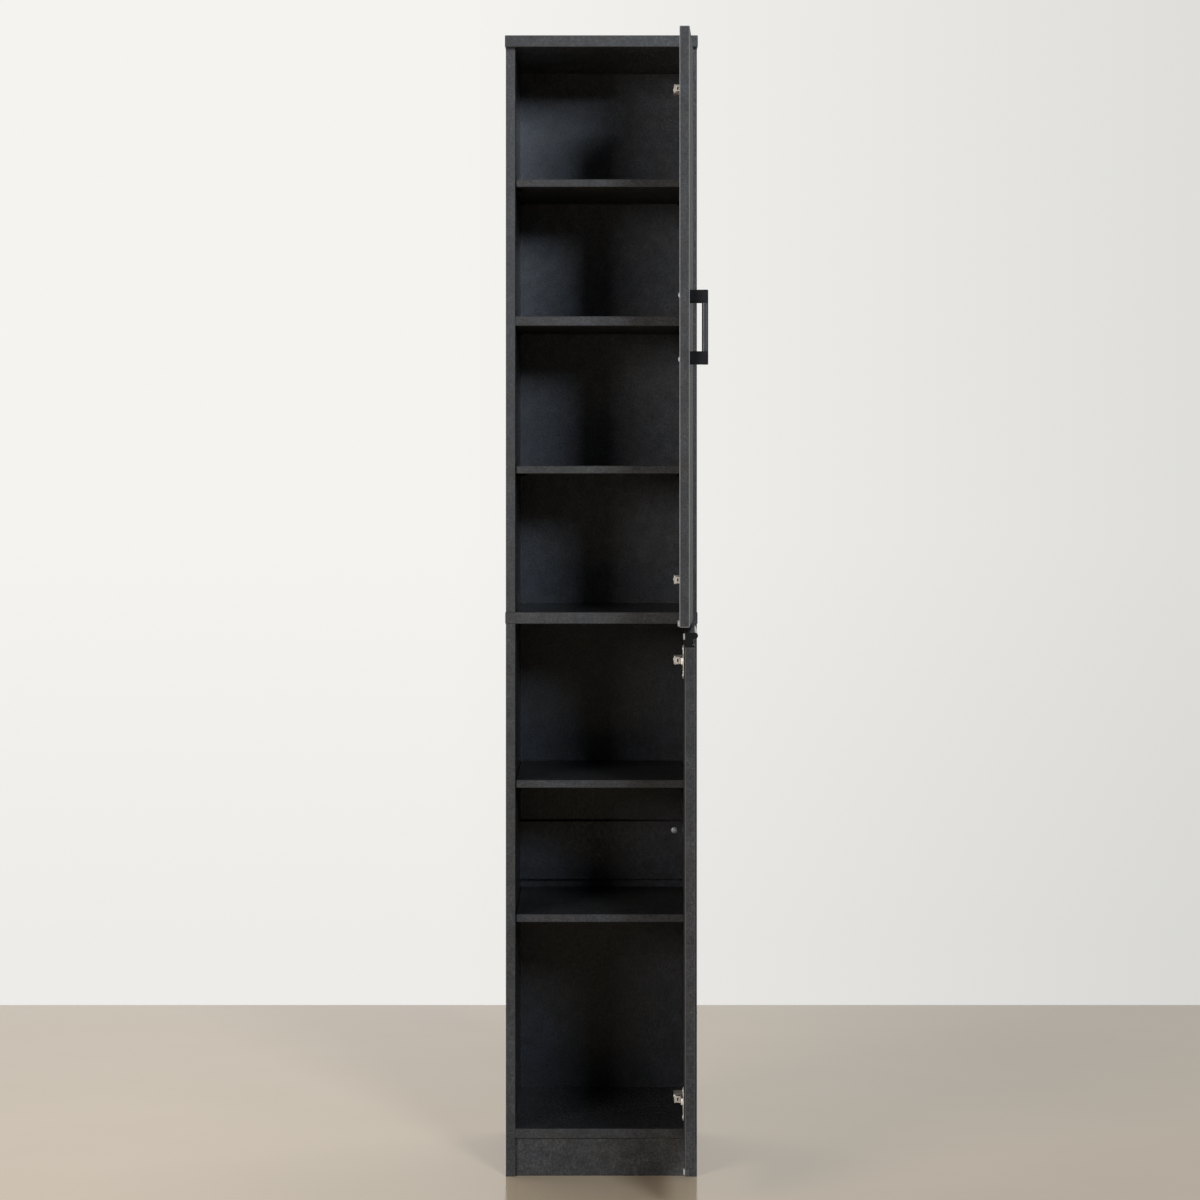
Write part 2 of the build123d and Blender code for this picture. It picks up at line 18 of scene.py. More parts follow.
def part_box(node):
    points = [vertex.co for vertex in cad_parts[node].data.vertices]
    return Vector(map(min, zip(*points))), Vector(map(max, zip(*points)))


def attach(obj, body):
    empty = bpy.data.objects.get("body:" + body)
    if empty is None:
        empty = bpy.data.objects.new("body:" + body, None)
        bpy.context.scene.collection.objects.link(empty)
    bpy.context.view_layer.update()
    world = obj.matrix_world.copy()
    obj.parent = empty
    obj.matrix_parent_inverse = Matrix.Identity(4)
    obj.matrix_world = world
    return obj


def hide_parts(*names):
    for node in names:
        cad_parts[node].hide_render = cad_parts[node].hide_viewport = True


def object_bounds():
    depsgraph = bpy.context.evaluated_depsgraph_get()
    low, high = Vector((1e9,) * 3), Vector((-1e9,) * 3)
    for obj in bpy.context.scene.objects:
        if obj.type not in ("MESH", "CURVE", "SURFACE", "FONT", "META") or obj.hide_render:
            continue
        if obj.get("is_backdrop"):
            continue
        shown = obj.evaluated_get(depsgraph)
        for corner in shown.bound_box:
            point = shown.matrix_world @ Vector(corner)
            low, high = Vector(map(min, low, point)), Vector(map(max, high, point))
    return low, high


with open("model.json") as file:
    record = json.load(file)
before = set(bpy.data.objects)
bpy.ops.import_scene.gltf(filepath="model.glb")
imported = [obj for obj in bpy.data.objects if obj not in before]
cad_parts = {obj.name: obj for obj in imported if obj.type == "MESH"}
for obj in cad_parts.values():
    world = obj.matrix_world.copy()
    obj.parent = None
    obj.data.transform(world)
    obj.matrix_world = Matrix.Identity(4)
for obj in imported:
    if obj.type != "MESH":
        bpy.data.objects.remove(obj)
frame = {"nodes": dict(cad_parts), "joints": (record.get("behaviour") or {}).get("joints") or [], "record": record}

scene = bpy.context.scene
cad_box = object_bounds()
nodes = frame["nodes"]
bodies = frame["record"]["behaviour"]["bodies"]
body_of = {name: body for body, names in bodies.items() for name in names}

# %% [markdown]
# ## Camera
#
# The photograph was taken from the front with a long lens, and the camera was kept level, so that all the
# uprights stay parallel. The picture was then framed by sliding the lens, not by tilting it. A camera that
# is tilted would make the cabinet lean, so the same is done here with the lens shift.

# %% Camera
picture_size = 1200.0        # pixels along each side of the square photograph
horizon_row = 463.3          # pixel row at the height of the lens
centre_column = 598.0        # pixel column straight ahead of the lens
film_width, lens_length = 36.0, 108.06   # millimetres
eye_height = 1.120
eye_distance = 5.656         # from the lens to the front edges of the cabinet
eye_aside = -0.0053
sight = 60.0                 # how far the camera sees

front_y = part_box("upper_left_side")[0].y
camera_data = bpy.data.cameras.new("camera")
camera_data.sensor_width = film_width
camera_data.lens = lens_length
camera_data.shift_x = 0.5 - centre_column / picture_size
camera_data.shift_y = horizon_row / picture_size - 0.5
camera_data.clip_end = sight
camera = bpy.data.objects.new("camera", camera_data)
camera.location = (eye_aside, front_y - eye_distance, eye_height)
camera.rotation_euler = (math.radians(90), 0, 0)
scene.collection.objects.link(camera)
scene.camera = camera
print("camera:", lens_length, "mm lens,", eye_distance, "m away")

# %% [markdown]
# ## Studio
#
# A dark cabinet shows little but what its faces reflect, so the light decides how it looks. A bright world
# all around would be the quickest light, but it would turn the compartments grey. Here two softboxes stand
# far to the sides: a cool one high at the right, and a larger, warmer one at the left. Neither stands near
# the lens, so the middle of each compartment stays almost black, and the open doors cut off the right-hand
# light. The wall is only the world's colour as the camera sees it, and as polished metal sees it from the
# wall's side. The world's own light is weak at the front, where the room is dark, and stronger from the
# side of the pale wall, which gives light back to the floor and to the cabinet's back.

# %% Helpers for node trees
def add(tree, kind, inputs=None, **settings):
    """Add a node, set its properties, and feed its inputs from numbers or from other nodes' outputs."""
    made = tree.nodes.new(kind)
    for key, value in settings.items():
        setattr(made, key, value)
    for key, value in (inputs or {}).items():
        for part in value if isinstance(value, list) else [value]:
            if isinstance(part, bpy.types.NodeSocket):
                tree.links.new(part, made.inputs[key])
            else:
                made.inputs[key].default_value = part
    return made


def reckon(tree, operation, first, second=0.0):
    """Sum, product or other result of two values."""
    return add(tree, "ShaderNodeMath", {0: first, 1: second}, operation=operation).outputs[0]


def ramp(tree, value, span, low=0.0, high=1.0):
    """Value that goes from low to high while another one goes through a span."""
    made = add(tree, "ShaderNodeMapRange",
               {"Value": value, "From Min": span[0], "From Max": span[1], "To Min": low, "To Max": high})
    return made.outputs["Result"]


def mix(tree, share, first, second):
    """Colour between two colours."""
    return add(tree, "ShaderNodeMix", {"Factor": share, 6: first, 7: second}, data_type="RGBA").outputs[2]


print("node helpers: add, reckon, ramp, mix")

# %% Wall and fill light
wall_bright, wall_shaded = (0.905, 0.896, 0.871, 1.0), (0.735, 0.73, 0.705, 1.0)
wall_foot = 0.935                # share of its brightness that the wall keeps near the floor
fill_colour = (0.94, 0.96, 1.0, 1.0)
room_fill, wall_fill = 0.05, 0.88
gloss_sees_wall = (-0.35, 0.25)  # spans of a direction's parts: this one along y, from the room to the wall
fill_grows = (-0.05, 0.45)       # along y
wall_darkens = (-0.04, 0.16)     # along x, to the right
foot_darkens = (-0.02, -0.13)    # along z, downwards

scene.view_settings.view_transform = "Standard"
scene.world = bpy.data.worlds.new("studio")
scene.world.use_nodes = True
sky = scene.world.node_tree
sky.nodes.clear()
rays = add(sky, "ShaderNodeLightPath").outputs
direction = add(sky, "ShaderNodeTexCoord").outputs["Generated"]
right, back, up = add(sky, "ShaderNodeSeparateXYZ", {0: direction}).outputs
mirrored = reckon(sky, "MULTIPLY", rays["Is Glossy Ray"], ramp(sky, back, gloss_sees_wall))
seen = reckon(sky, "MAXIMUM", rays["Is Camera Ray"], mirrored)
seen = reckon(sky, "MAXIMUM", seen, rays["Is Transmission Ray"])
fill = add(sky, "ShaderNodeBackground",
           {"Color": fill_colour, "Strength": ramp(sky, back, fill_grows, room_fill, wall_fill)})
wall = add(sky, "ShaderNodeBackground",
           {"Color": mix(sky, ramp(sky, right, wall_darkens), wall_bright, wall_shaded),
            "Strength": ramp(sky, up, foot_darkens, 1.0, wall_foot)})
both = add(sky, "ShaderNodeMixShader", {0: seen, 1: fill.outputs[0], 2: wall.outputs[0]})
add(sky, "ShaderNodeOutputWorld", {"Surface": both.outputs[0]})
print("wall colour", wall_bright[:3], "fill", room_fill, "to", wall_fill)

# %% Softboxes
cabinet_middle = (0.0, 0.1, 1.0)
cool_light, warm_light = (0.78, 0.89, 1.0), (1.0, 0.975, 0.94)


def softbox(name, place, size, watts, colour):
    """Rectangular area light at a place, turned to the middle of the cabinet."""
    lamp = bpy.data.lights.new(name, "AREA")
    lamp.shape = "RECTANGLE"
    lamp.size, lamp.size_y = size
    lamp.energy = watts
    lamp.color = colour
    box = bpy.data.objects.new(name, lamp)
    box.location = place
    box.rotation_euler = (Vector(cabinet_middle) - Vector(place)).to_track_quat("-Z", "Y").to_euler()
    box.visible_camera = False
    scene.collection.objects.link(box)
    print(name, "at", place, watts, "W")


softbox("right_softbox", (1.96, front_y - 6.3, 2.84), size=(1.15, 0.95), watts=230.0, colour=cool_light)
softbox("left_softbox", (-3.75, front_y - 5.8, 1.90), size=(2.6, 1.15), watts=255.0, colour=warm_light)

# %% [markdown]
# ## Floor
#
# The cabinet stands on a pale floor that ends at the wall behind it. A backdrop that is bent up in a curve
# would be the usual studio choice, but the line between floor and wall shows in the picture. One flat sheet
# that stops where the wall begins gives that line, takes the cabinet's shadow, and mirrors its foot a
# little.

# %% Helpers for finishes
def shader(name):
    """New material, its node tree, its surface shader and its object coordinates."""
    material = bpy.data.materials.new(name)
    material.use_nodes = True
    tree = material.node_tree
    place = add(tree, "ShaderNodeTexCoord")
    return material, tree, tree.nodes["Principled BSDF"], place.outputs["Object"]


def noise(tree, place, per_metre, detail=4.0, roughness=0.55):
    """Noise with that many waves to the metre."""
    made = add(tree, "ShaderNodeTexNoise",
               {"Vector": place, "Scale": per_metre, "Detail": detail, "Roughness": roughness})
    return made.outputs["Fac"]


def scaled(tree, vector, factor):
    """Vector or colour times a number."""
    return add(tree, "ShaderNodeVectorMath", {0: vector, "Scale": factor}, operation="SCALE").outputs[0]


print("finish helpers: shader, noise, scaled")

# %% Floor
wall_y = 1.778
floor_reach = 7.0
floor_deep, floor_pale = (0.80, 0.61, 0.41, 1.0), (0.88, 0.68, 0.47, 1.0)
dapple_waves, dapple_roughness = 3.0, 0.5
# Painted shade: the floor's colour grows darker to the right.
floor_painted_shade = (-0.8, 0.8)      # along x, to the right
right_share = 0.73               # of the brightness, at the right
floor_roughness, floor_ior = 0.14, 1.27

floor_finish, tree, surface, place = shader("floor")
dapple = noise(tree, place, dapple_waves, roughness=dapple_roughness)
across = add(tree, "ShaderNodeSeparateXYZ", {0: place}).outputs["X"]
dappled = mix(tree, dapple, floor_deep, floor_pale)
tone = scaled(tree, dappled, ramp(tree, across, floor_painted_shade, 1.0, right_share))
tree.links.new(tone, surface.inputs["Base Color"])
surface.inputs["Roughness"].default_value = floor_roughness
surface.inputs["IOR"].default_value = floor_ior

floor_mesh = bpy.data.meshes.new("floor")
floor_mesh.from_pydata([(-floor_reach, -floor_reach, 0), (floor_reach, -floor_reach, 0),
                        (floor_reach, wall_y, 0), (-floor_reach, wall_y, 0)], [], [(0, 1, 2, 3)])
floor_mesh.materials.append(floor_finish)
floor = bpy.data.objects.new("floor", floor_mesh)
scene.collection.objects.link(floor)
floor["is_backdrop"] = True
print("floor ends at y", wall_y)

# %% [markdown]
# ## Stone-look board
#
# The boards are chipboard with a printed and pressed face: dark grey stone with soft clouds, patches of
# about two centimetres, a mottle of some millimetres and fine grit, in places bluish and in places
# brownish. A picture could be wrapped around them, but it would repeat and stretch. Noise at these four
# scales, and one more for the hue, on object coordinates, gives the print without any picture. Each group
# of boards gets its own shift of the pattern, because each was cut from another place in the sheet. The
# bevels are painted lighter, partly as wear where the print is rubbed and partly as a painted highlight for
# the shine of a rounded edge. The painted highlight is strongest on the upper door, for the way the lamps
# fall on its edges. The front edges have a gloss of their own.

# %% Helpers for prints and reliefs
noise_middle = (0.3, 0.7)        # nearly all of a noise lies in this span


def spread(tree, value, low, high):
    """Map the middle of a noise to a range."""
    return ramp(tree, value, noise_middle, low, high)


def blend(tree, share, first, second):
    """Number between two numbers."""
    return add(tree, "ShaderNodeMix", {"Factor": share, 2: first, 3: second}, data_type="FLOAT").outputs[0]


def bump(tree, surface, height, depth):
    """Relief of that depth on a surface shader."""
    made = add(tree, "ShaderNodeBump", {"Height": height, "Distance": depth, "Strength": 1.0})
    tree.links.new(made.outputs["Normal"], surface.inputs["Normal"])


print("print helpers: spread, blend, bump")

# %% Stone print
cloud_waves, patch_waves, mottle_waves, grit_waves, hue_waves = 7.0, 48.0, 230.0, 620.0, 22.0
cloud_tones, patch_tones, mottle_tones, grit_tones = (0.82, 1.18), (0.72, 1.28), (0.4, 1.6), (0.35, 1.65)
full_detail, some_detail, grainy = 4.0, 3.0, 0.6
bevel_facing = (0.97, 0.80)      # largest part of the normal, from a flat face to the middle of a bevel
edge_facing = (0.6, 0.9)         # y part of the normal, from the faces to the front edge
least_rubbed_and_lit = 0.75
mottled_gloss = 0.09             # how far the roughness varies
relief_mottle, relief_grit = 0.55, 0.12


def stone_board(name, shift, greys, shade, face_roughness, edge_roughness, gloss, wear_and_highlight, relief):
    """Printed stone face between two greys, with front edges of their own gloss, and bevels lighter with wear and
    painted highlight.
    """
    material, tree, surface, place = shader(name)
    sheet = add(tree, "ShaderNodeMapping", {"Vector": place, "Location": shift}).outputs[0]
    clouds, patches = noise(tree, sheet, cloud_waves), noise(tree, sheet, patch_waves)
    mottle = noise(tree, sheet, mottle_waves, full_detail, grainy)
    grit = noise(tree, sheet, grit_waves, some_detail, grainy)
    hue = spread(tree, noise(tree, sheet, hue_waves, some_detail), 0.0, 1.0)
    large = reckon(tree, "MULTIPLY", spread(tree, clouds, cloud_tones[0] * shade, cloud_tones[1] * shade),
                   spread(tree, patches, *patch_tones))
    small = reckon(tree, "MULTIPLY", spread(tree, mottle, *mottle_tones), spread(tree, grit, *grit_tones))
    printed = scaled(tree, mix(tree, hue, *greys), reckon(tree, "MULTIPLY", large, small))

    facing = add(tree, "ShaderNodeTexCoord").outputs["Normal"]
    parts = add(tree, "ShaderNodeSeparateXYZ", {0: facing}).outputs
    x, y, z = [reckon(tree, "ABSOLUTE", part) for part in parts]
    # Bevels get a lighter colour: partly wear, and partly a painted highlight for the shine of a rounded edge.
    on_bevel = ramp(tree, reckon(tree, "MAXIMUM", reckon(tree, "MAXIMUM", x, y), z), bevel_facing)
    rubbed_and_lit = reckon(tree, "MULTIPLY", on_bevel, spread(tree, mottle, least_rubbed_and_lit, 1.0))
    tree.links.new(mix(tree, rubbed_and_lit, printed, wear_and_highlight), surface.inputs["Base Color"])
    even = blend(tree, ramp(tree, y, edge_facing), face_roughness, edge_roughness)
    uneven = reckon(tree, "ADD", even, spread(tree, mottle, mottled_gloss, -mottled_gloss))
    tree.links.new(uneven, surface.inputs["Roughness"])
    surface.inputs["Specular IOR Level"].default_value = gloss
    coarse = blend(tree, relief_mottle, patches, mottle)
    bump(tree, surface, blend(tree, relief_grit, coarse, grit), relief)
    return material


def finish(material, names):
    """Give a material to CAD nodes that stay as they are."""
    for name in names:
        nodes[name].data.materials.clear()
        nodes[name].data.materials.append(material)


print("stone print of", cloud_waves, "to", grit_waves, "waves to the metre")

# %% Finish of the boards
blue_grey = (0.0160, 0.0178, 0.0232, 1.0)
cool_grey, warm_grey = (0.0175, 0.0179, 0.0198, 1.0), (0.0190, 0.018, 0.0173, 1.0)
board_greys, panel_greys = (cool_grey, warm_grey), (blue_grey, cool_grey)
pressed, smooth, fine = 0.0008, 0.0003, 0.00005     # depths of the relief
# Bevel colours: wear and painted highlight. The doors' are lighter, and the upper door's lightest, as painted
# highlight for how the lamps light their edges.
faint_wear_and_highlight, slight_wear_and_highlight = (0.045, 0.046, 0.050, 1.0), (0.085, 0.087, 0.092, 1.0)
strong_wear_and_highlight = (0.28, 0.287, 0.30, 1.0)

columns = ("shift", "greys", "shade", "face_roughness", "edge_roughness", "gloss", "wear_and_highlight", "relief")
stone_groups = {
    "sides": ((0.0, 0.0, 0.0), board_greys, 1.6, 0.30, 0.39, 0.39, faint_wear_and_highlight, pressed),
    "caps": ((3.1, 1.7, 0.4), board_greys, 1.65, 0.32, 0.40, 0.37, faint_wear_and_highlight, fine),
    "shelves": ((5.3, 2.9, 1.1), board_greys, 1.5, 0.55, 0.45, 0.29, faint_wear_and_highlight, smooth),
    "upper_door": ((8.2, 4.6, 2.3), board_greys, 1.65, 0.62, 0.34, 0.32, strong_wear_and_highlight, pressed),
    "lower_door": ((2.7, 6.3, 4.4), board_greys, 1.65, 0.62, 0.34, 0.32, slight_wear_and_highlight, pressed),
    # Painted light: the upper back's shade is nearly twice the lower back's, standing in for the light that
    # reaches the upper compartments.
    "upper_back": ((1.9, 7.7, 3.6), panel_greys, 2.5, 0.30, 0.30, 0.43, faint_wear_and_highlight, smooth),
    "lower_back": ((6.4, 9.1, 5.2), panel_greys, 1.3, 0.30, 0.30, 0.32, faint_wear_and_highlight, smooth),
}
boards = {
    "sides": ["upper_left_side", "upper_right_side", "lower_left_side", "lower_right_side"],
    "caps": ["top_board", "middle_board", "bottom_board", "plinth"],
    "shelves": ["fixed_shelf", "upper_high_shelf", "upper_low_shelf", "lower_high_shelf", "lower_low_shelf"],
    "upper_door": ["upper_door"],
    "lower_door": ["lower_door"],
    "upper_back": ["upper_back"],
    "lower_back": ["lower_back", "back_rail"],
}
for group, row in stone_groups.items():
    finish(stone_board("stone_" + group, **dict(zip(columns, row))), boards[group])
print("stone print on", sum(len(names) for names in boards.values()), "boards")

# %% [markdown]
# ## Black coats
#
# The handle is cast metal with a matt black powder coat, which has a fine orange-peel relief, and its bar
# is polished a little by the hand. The edge pull of the lower door is a glossy moulded profile with dull
# end caps. One black for all of them would be simpler, but what shows on nearly black things is their
# gloss. So each gets its own, and a noise that makes the roughness uneven matters more than the colour.

# %% Powder coat and moulded plastic
coat_clouds = 60.0               # waves to the metre
coat_unevenness = 0.08
powder_waves, mould_waves = 1400.0, 2200.0


def coated(name, dark, light, grain_waves, roughness, gloss, relief):
    """Near-black coat with a fine relief and an uneven gloss."""
    material, tree, surface, place = shader(name)
    grain = noise(tree, place, grain_waves, some_detail)
    cloud = spread(tree, noise(tree, place, coat_clouds), 0.0, 1.0)
    tree.links.new(mix(tree, cloud, dark, light), surface.inputs["Base Color"])
    uneven = spread(tree, grain, roughness - coat_unevenness, roughness + coat_unevenness)
    tree.links.new(uneven, surface.inputs["Roughness"])
    surface.inputs["Specular IOR Level"].default_value = gloss
    bump(tree, surface, grain, relief)
    return material


pitch, soot = (0.005, 0.005, 0.007, 1.0), (0.010, 0.010, 0.012, 1.0)
jet, coal = (0.003, 0.003, 0.003, 1.0), (0.005, 0.005, 0.005, 1.0)
powder_coat = coated("powder_coat", pitch, soot, powder_waves, roughness=0.62, gloss=0.15, relief=0.00008)
worn_coat = coated("worn_coat", pitch, soot, powder_waves, roughness=0.36, gloss=0.5, relief=0.00002)
glossy_black = coated("glossy_black", pitch, soot, mould_waves, roughness=0.20, gloss=0.4, relief=0.00001)
dull_black = coated("dull_black", jet, coal, mould_waves, roughness=0.60, gloss=0.1, relief=0.00003)
finish(glossy_black, ["lower_pull"])
finish(dull_black, ["pull_end_caps"])
print("black coats on the pull and its end caps")

# %% [markdown]
# ## Bar handle
#
# The handle is a cast bar on two square feet. The CAD handle has flat bevels, but a cast bar is round to
# the hand, most of all on the side where the fingers go. A bevel modifier would round all its edges alike,
# so the bar is drawn out from a section with two sizes of corners, inside the CAD bar. The feet are drawn
# out in the same way, with softened edges, and welded on. The door stands open in the frame, so the handle
# is made for the closed door and then swung out by the hinge's angle.

# %% Helpers for solid pieces
def as_object(name, work):
    """Object in the scene from a finished bmesh."""
    mesh = bpy.data.meshes.new(name)
    work.to_mesh(mesh)
    work.free()
    made = bpy.data.objects.new(name, mesh)
    scene.collection.objects.link(made)
    return made


def plain_mesh(piece):
    """Mesh that a piece's modifiers make, as the piece's own. The modifiers are removed."""
    graph = bpy.context.evaluated_depsgraph_get()
    mesh = bpy.data.meshes.new_from_object(piece.evaluated_get(graph), depsgraph=graph)
    piece.modifiers.clear()
    piece.data = mesh
    return mesh


def settle(piece, crease):
    """Keep what a piece's modifiers make, shaded smooth up to an angle in degrees."""
    mesh = plain_mesh(piece)
    mesh.shade_smooth()
    mesh.set_sharp_from_angle(angle=math.radians(crease))


def carve(piece, operation, other):
    """Join another solid to a piece, or cut it out, when the piece is settled."""
    modifier = piece.modifiers.new(other.name, "BOOLEAN")
    modifier.object, modifier.operation, modifier.solver = other, operation, "EXACT"


print("solid helpers: as_object, plain_mesh, settle, carve")

# %% Where the closed handle sits
swing = next(joint for joint in frame["joints"] if joint["name"] == "upper_door_swing")
hinge_line = Vector(swing["pos_m"])
opened = Matrix.Rotation(-math.radians(swing["range_deg"][0]), 4, "Z")
swung_out = Matrix.Translation(hinge_line) @ opened @ Matrix.Translation(-hinge_line)
closed = [swung_out.inverted() @ corner.co for corner in nodes["door_handle"].data.vertices]
low, high = [Vector([pick(point[i] for point in closed) for i in range(3)]) for pick in (min, max)]
middle = (low + high) / 2
print("closed handle", [round(1000 * v, 1) for v in high - low], "mm")

# %% Drawn-out bars
def section(half_x, half_y, inner_round, front_round, steps=7):
    """Outline with four rounded corners, the inner ones at +Y."""
    outline = []
    for sign_x, sign_y, first in ((1, 1, 0), (-1, 1, 90), (-1, -1, 180), (1, -1, 270)):
        radius = inner_round if sign_y > 0 else front_round
        for step in range(steps + 1):
            angle = math.radians(first + 90 * step / steps)
            outline.append((sign_x * (half_x - radius) + radius * math.cos(angle),
                            sign_y * (half_y - radius) + radius * math.sin(angle)))
    return outline


def rounded_levels(bottom, top, radius, steps=4):
    """Levels of a bar whose two ends are rounded over: heights, and how far the section is drawn in there."""
    arc = [(radius * (1 - math.sin(a)), radius * (1 - math.cos(a)))
           for a in (math.pi / 2 * step / steps for step in range(steps + 1))]
    lower = [(bottom + rise, inset) for inset, rise in arc]
    return lower + [(top - rise, inset) for inset, rise in arc[::-1]]


def drawn_out(name, centre, half_x, half_y, levels, rounds, coat_at):
    """Closed bar along Z, swung out with the door. A height picks the worn_coat (0) or the powder_coat (1)."""
    work = bmesh.new()
    outline = section(half_x, half_y, *rounds)
    rings = []
    for z, inset in levels:
        scale_x, scale_y = 1 - inset / half_x, 1 - inset / half_y
        ring = [(centre[0] + x * scale_x, centre[1] + y * scale_y, z) for x, y in outline]
        rings.append([work.verts.new(point) for point in ring])
    faces = [work.faces.new(rings[0][::-1]), work.faces.new(rings[-1])]
    for lower, upper in zip(rings, rings[1:]):
        for i in range(len(lower)):
            j = (i + 1) % len(lower)
            faces.append(work.faces.new((lower[i], lower[j], upper[j], upper[i])))
    for face in faces:
        face.material_index = coat_at(face.calc_center_median().z)
    work.transform(swung_out)
    made = as_object(name, work)
    made.data.materials.append(worn_coat)
    made.data.materials.append(powder_coat)
    return made


print("bar section of", len(section(1.0, 1.0, 0.1, 0.1)), "points")

# %% Handle
bar_thickness = 0.0094
bar_rounds = (0.0036, 0.0024)    # at the fingers, and outside
bar_end_round = 0.0012
foot_height = 0.020
foot_behind_bar = 0.003          # from the bar's front to the foot's
foot_inset = 0.0001              # keeps the faces of foot and bar apart
foot_rounds = (0.0004, 0.0008)   # at the door, and inside the bar
foot_end_round, foot_end_steps = 0.0006, 2
handle_crease = 40

bar_half = ((high.x - low.x) / 2, bar_thickness / 2)
levels = rounded_levels(low.z, high.z, bar_end_round)
halfway = len(levels) // 2       # two more rings, where the worn coat ends
levels[halfway:halfway] = [(low.z + foot_height, 0.0), (high.z - foot_height, 0.0)]
worn_half = (high.z - low.z) / 2 - foot_height
handle = drawn_out("bar_handle", (middle.x, low.y + bar_half[1]), *bar_half, levels, bar_rounds,
                   lambda z: 0 if abs(z - middle.z) < worn_half else 1)

foot_front = low.y + foot_behind_bar
foot_centre = (middle.x, (foot_front + high.y) / 2)
foot_half = (bar_half[0] - foot_inset, (high.y - foot_front) / 2)
feet = []
for foot_low in (low.z + foot_inset, high.z - foot_height):
    foot_high = foot_low + foot_height - foot_inset
    foot_levels = rounded_levels(foot_low, foot_high, foot_end_round, foot_end_steps)
    feet.append(drawn_out("foot", foot_centre, *foot_half, foot_levels, foot_rounds, lambda z: 1))
    carve(handle, "UNION", feet[-1])
settle(handle, handle_crease)
for foot in feet:
    bpy.data.objects.remove(foot)
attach(handle, "upper_door")
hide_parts("door_handle")
print("handle with", len(handle.data.polygons), "faces")

# %% [markdown]
# ## Plated steel
#
# The hinges are pressed from nickel-plated sheet, with a warm shine, and the screws are bright zinc. A
# plain metal shader would look like a mirror here. Plating follows the rolled sheet below it, so a
# stretched noise gives the roughness faint streaks, and a second one lets the colour drift a little.

# %% Nickel and zinc
plating_clouds = 180.0           # waves to the metre
streak_depth = 0.00002
smoother, rougher = 0.06, 0.08   # how far the streaks vary the roughness
along_sheet, no_direction = (900.0, 900.0, 60.0), (700.0, 700.0, 700.0)     # waves to the metre


def plated(name, dull, bright, streak_waves, roughness, metal=1.0):
    """Plated steel with faint rolling streaks."""
    material, tree, surface, place = shader(name)
    stretched = add(tree, "ShaderNodeMapping", {"Vector": place, "Scale": streak_waves}).outputs[0]
    streaks = noise(tree, stretched, 1.0, some_detail)
    cloud = spread(tree, noise(tree, place, plating_clouds), 0.0, 1.0)
    tree.links.new(mix(tree, cloud, dull, bright), surface.inputs["Base Color"])
    surface.inputs["Metallic"].default_value = metal
    uneven = spread(tree, streaks, roughness - smoother, roughness + rougher)
    tree.links.new(uneven, surface.inputs["Roughness"])
    bump(tree, surface, streaks, streak_depth)
    return material


nickel = plated("nickel", (0.90, 0.86, 0.80, 1.0), (0.98, 0.95, 0.90, 1.0), along_sheet, 0.45, metal=0.65)
zinc = plated("zinc", (0.76, 0.77, 0.78, 1.0), (0.90, 0.90, 0.89, 1.0), no_direction, 0.48)
dull_zinc = plated("dull_zinc", (0.40, 0.42, 0.46, 1.0), (0.52, 0.54, 0.58, 1.0), no_direction, 0.55)
hinge_nodes = [name for name in nodes if "_hinge_" in name]
finish(nickel, hinge_nodes)
print("nickel on", len(hinge_nodes), "hinge pieces")

# %% [markdown]
# ## Hinge arms
#
# A hinge arm is bent from sheet, so its edges are soft, and a slot in its sloping shoulder lets the
# adjusting screw through. The CAD arm has neither. It could be modelled anew, but its bends have to fit the
# plate and the pin. So a copy of its mesh is joined up, its flat faces are made whole, the slot is cut, and
# then every sharp edge is rounded over a little.

# %% Slotted arms with soft edges
merge_distance = 1e-6
flat_angle, sharp_angle = 0.5, 50    # degrees
slot_size = (0.0019, 0.008, 0.0050)
slot_aside, slot_behind_front = 0.0051, 0.0084
edge_round, edge_steps = 0.00035, 2


def joined_up(name, new_name):
    """Copy of a CAD node with its triangles merged into whole faces."""
    work = bmesh.new()
    work.from_mesh(nodes[name].data)
    bmesh.ops.remove_doubles(work, verts=work.verts, dist=merge_distance)
    bmesh.ops.dissolve_limit(work, angle_limit=math.radians(flat_angle), verts=work.verts, edges=work.edges)
    return as_object(new_name, work)


def block(name, centre, size):
    """Box object, used as a cutter."""
    work = bmesh.new()
    bmesh.ops.create_cube(work, size=1.0)
    bmesh.ops.scale(work, vec=size, verts=work.verts)
    bmesh.ops.translate(work, vec=centre, verts=work.verts)
    return as_object(name, work)


for name in [name for name in nodes if name.endswith("_hinge_arm")]:
    low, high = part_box(name)
    arm = joined_up(name, "soft_" + name)
    slot = block("slot", (low.x + slot_aside, front_y + slot_behind_front, (low.z + high.z) / 2), slot_size)
    carve(arm, "DIFFERENCE", slot)
    rounding = arm.modifiers.new("soft_edges", "BEVEL")
    rounding.width, rounding.segments = edge_round, edge_steps
    rounding.limit_method, rounding.angle_limit = "ANGLE", math.radians(sharp_angle)
    settle(arm, sharp_angle)
    bpy.data.objects.remove(slot)
    arm.data.materials.clear()
    arm.data.materials.append(nickel)
    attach(arm, "carcass")
    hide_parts(name)
    print(arm.name, len(arm.data.polygons), "faces")

# %% [markdown]
# ## Reading the fittings' places
#
# Screws, shelf pins and dowels are simple solids in the frame. Their places could be typed in, but then
# they would have to be changed with every change of the CAD. So they are read from the frame: each solid is
# one island of its node's mesh. A fitting is long, so the direction in which its points spread most is its
# axis, and a screw's head is the end with the larger radius.

# %% Islands and axes
same_level = 1e-5                # points this close along an axis lie at the same end
nearly_all = 0.9


